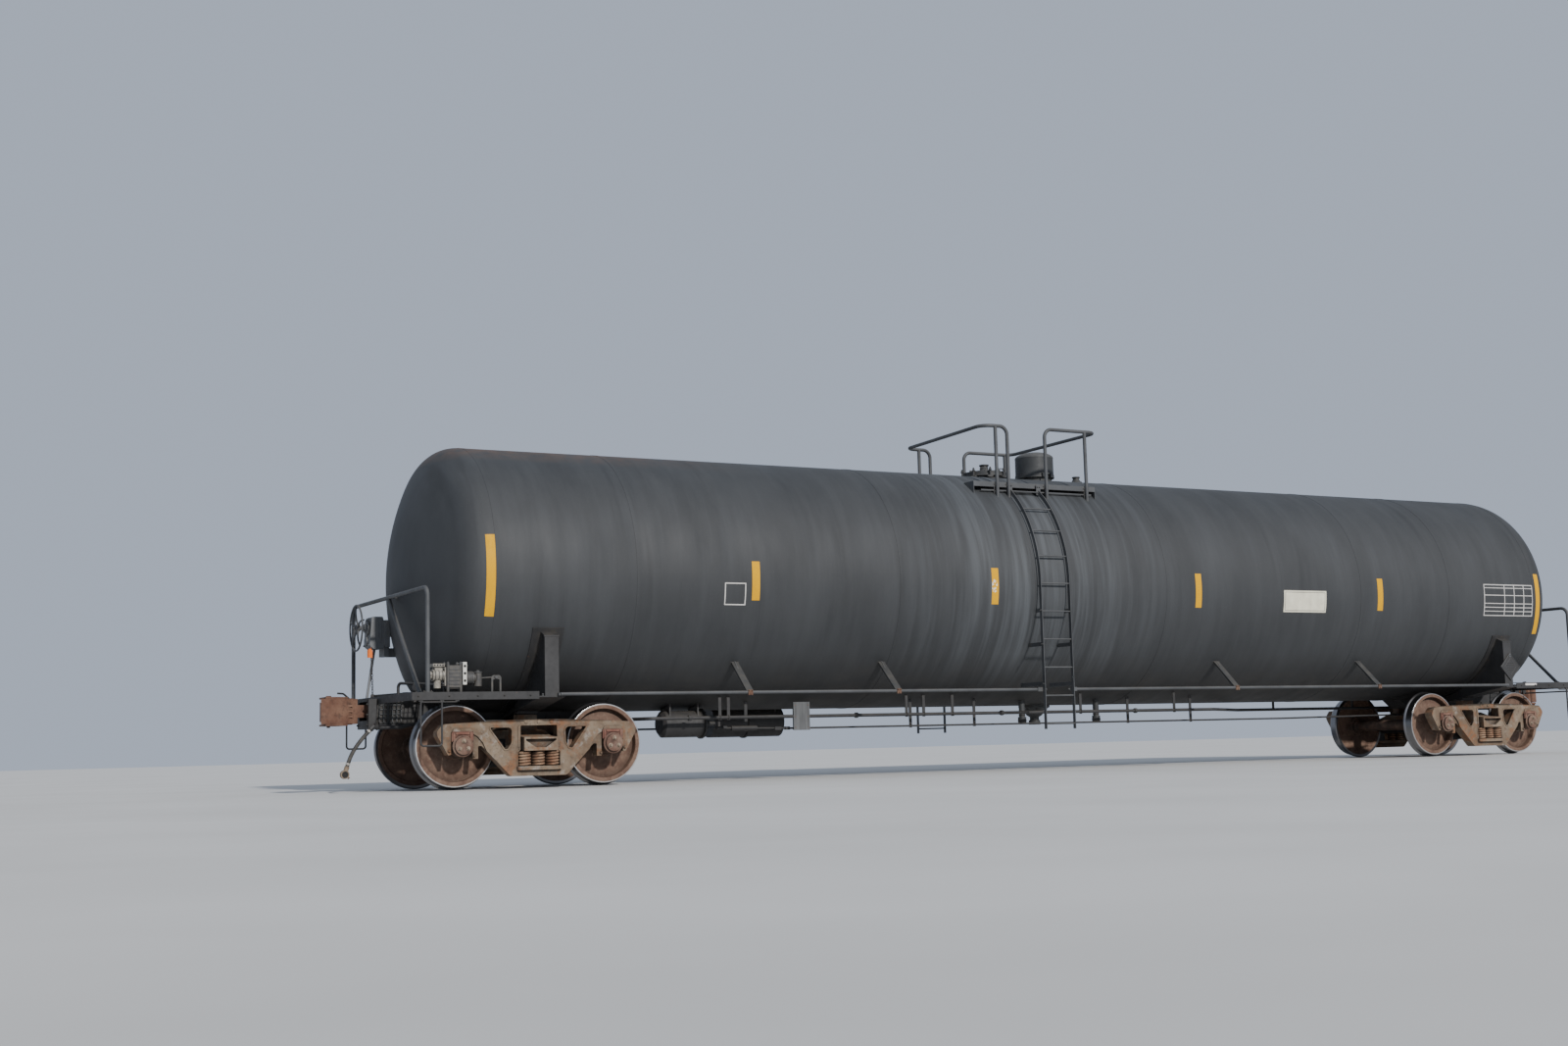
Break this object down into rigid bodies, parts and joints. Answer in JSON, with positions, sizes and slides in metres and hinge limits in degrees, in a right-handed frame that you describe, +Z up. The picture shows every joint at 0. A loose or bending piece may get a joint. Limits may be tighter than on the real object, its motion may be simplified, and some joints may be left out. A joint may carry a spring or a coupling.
{
  "type": "railway tank car",
  "caption": "Four-axle railway tank car with an insulated round jacket, stub sills, swivelling trucks, hinged couplers, ladders and a top walkway.",
  "frame": {"origin": "on the floor under the middle of the car, where the wheel flanges stand", "axes": "+X along the car towards its A end, +Y to the far side of the picture's view, +Z up"},
  "size_m": [19.54, 3.248, 4.5039],
  "materials": {
    "jacket": "matte charcoal paint, dusty",
    "black_steel": "matte black paint with road dust",
    "rail_grey": "weathered dark grey paint",
    "cast_tan": "rough cast steel under tan dust",
    "spring_rust": "rusty spring steel",
    "wheel_steel": "brown plate with polished tread",
    "coupler_rust": "orange-brown rust",
    "adapter_red": "red-brown casting",
    "valve_grey": "pale weathered castings",
    "brake_grey": "grey housing paint",
    "hose_rubber": "dusty black rubber",
    "gladhand_iron": "dull cast iron",
    "fittings_dark": "dark paint with worn edges"
  },
  "bodies": {
    "car_body": {"tank": "jacket", "saddle_plates": "black_steel", "stub_sills": "black_steel", "body_bolsters": "black_steel", "end_platforms": "black_steel", "end_railings": "rail_grey", "guard_pipes": "rail_grey", "ladder_near": "rail_grey", "ladder_far": "rail_grey", "top_platform": "rail_grey", "top_railings": "rail_grey", "manway_nozzle": "fittings_dark", "bonnet_base": "fittings_dark", "relief_valve": "fittings_dark", "bottom_outlet": "fittings_dark", "heater_inlets": "fittings_dark", "train_line_b": "black_steel", "train_line": "black_steel", "train_line_a": "black_steel", "brake_cylinder": "black_steel", "air_reservoir": "black_steel", "control_valve": "valve_grey", "brake_rods": "black_steel", "hand_brake_stand": "brake_grey", "hand_brake_wheel": "rail_grey", "placard_holders": "black_steel", "sill_steps": "black_steel", "uncoupling_levers": "black_steel", "air_hose_b": "hose_rubber", "air_hose_a": "hose_rubber", "gladhand_b": "gladhand_iron", "gladhand_a": "gladhand_iron"},
    "truck_b": {"side_frames_b": "cast_tan", "truck_bolster_b": "cast_tan", "springs_b": "spring_rust", "adapters_b": "adapter_red", "brake_beams_b": "black_steel"},
    "truck_a": {"side_frames_a": "cast_tan", "truck_bolster_a": "cast_tan", "springs_a": "spring_rust", "adapters_a": "adapter_red", "brake_beams_a": "black_steel"},
    "wheelset_1": {"wheels_1": "wheel_steel", "axle_1": "wheel_steel"},
    "wheelset_2": {"wheels_2": "wheel_steel", "axle_2": "wheel_steel"},
    "wheelset_3": {"wheels_3": "wheel_steel", "axle_3": "wheel_steel"},
    "wheelset_4": {"wheels_4": "wheel_steel", "axle_4": "wheel_steel"},
    "coupler_body_b": {"coupler_b": "coupler_rust"},
    "knuckle_body_b": {"knuckle_b": "coupler_rust"},
    "coupler_body_a": {"coupler_a": "coupler_rust"},
    "knuckle_body_a": {"knuckle_a": "coupler_rust"},
    "manway_lid": {"manway_cover": "fittings_dark"},
    "bonnet_lid": {"bonnet": "fittings_dark"}
  },
  "joints": [
    {"name": "truck_swivel_b", "type": "hinge", "parent": "car_body", "child": "truck_b", "pos_m": [-7.548, 0, 0.678], "axis": [0, 0, 1], "range_deg": [-6, 6]},
    {"name": "truck_swivel_a", "type": "hinge", "parent": "car_body", "child": "truck_a", "pos_m": [7.548, 0, 0.678], "axis": [0, 0, 1], "range_deg": [-6, 6]},
    {"name": "wheelset_roll_1", "type": "hinge", "parent": "truck_b", "child": "wheelset_1", "pos_m": [-8.437, 0, 0.4826], "axis": [0, 1, 0], "continuous": true},
    {"name": "wheelset_roll_2", "type": "hinge", "parent": "truck_b", "child": "wheelset_2", "pos_m": [-6.659, 0, 0.4826], "axis": [0, 1, 0], "continuous": true},
    {"name": "wheelset_roll_3", "type": "hinge", "parent": "truck_a", "child": "wheelset_3", "pos_m": [6.659, 0, 0.4826], "axis": [0, 1, 0], "continuous": true},
    {"name": "wheelset_roll_4", "type": "hinge", "parent": "truck_a", "child": "wheelset_4", "pos_m": [8.437, 0, 0.4826], "axis": [0, 1, 0], "continuous": true},
    {"name": "coupler_swing_b", "type": "hinge", "parent": "car_body", "child": "coupler_body_b", "pos_m": [-8.79, 0, 0.901], "axis": [0, 0, 1], "range_deg": [-8, 8]},
    {"name": "knuckle_open_b", "type": "hinge", "parent": "coupler_body_b", "child": "knuckle_body_b", "pos_m": [-9.595, 0.14, 0.901], "axis": [0, 0, -1], "range_deg": [0, 50]},
    {"name": "coupler_swing_a", "type": "hinge", "parent": "car_body", "child": "coupler_body_a", "pos_m": [8.79, 0, 0.901], "axis": [0, 0, 1], "range_deg": [-8, 8]},
    {"name": "knuckle_open_a", "type": "hinge", "parent": "coupler_body_a", "child": "knuckle_body_a", "pos_m": [9.595, -0.14, 0.901], "axis": [0, 0, -1], "range_deg": [0, 50]},
    {"name": "manway_cover_hinge", "type": "hinge", "parent": "car_body", "child": "manway_lid", "pos_m": [-0.67, 0.385, 3.995], "axis": [-1, 0, 0], "range_deg": [0, 100]},
    {"name": "bonnet_hinge", "type": "hinge", "parent": "car_body", "child": "bonnet_lid", "pos_m": [0.17, -0.284, 4.016], "axis": [1, 0, 0], "range_deg": [0, 95]}
  ]
}
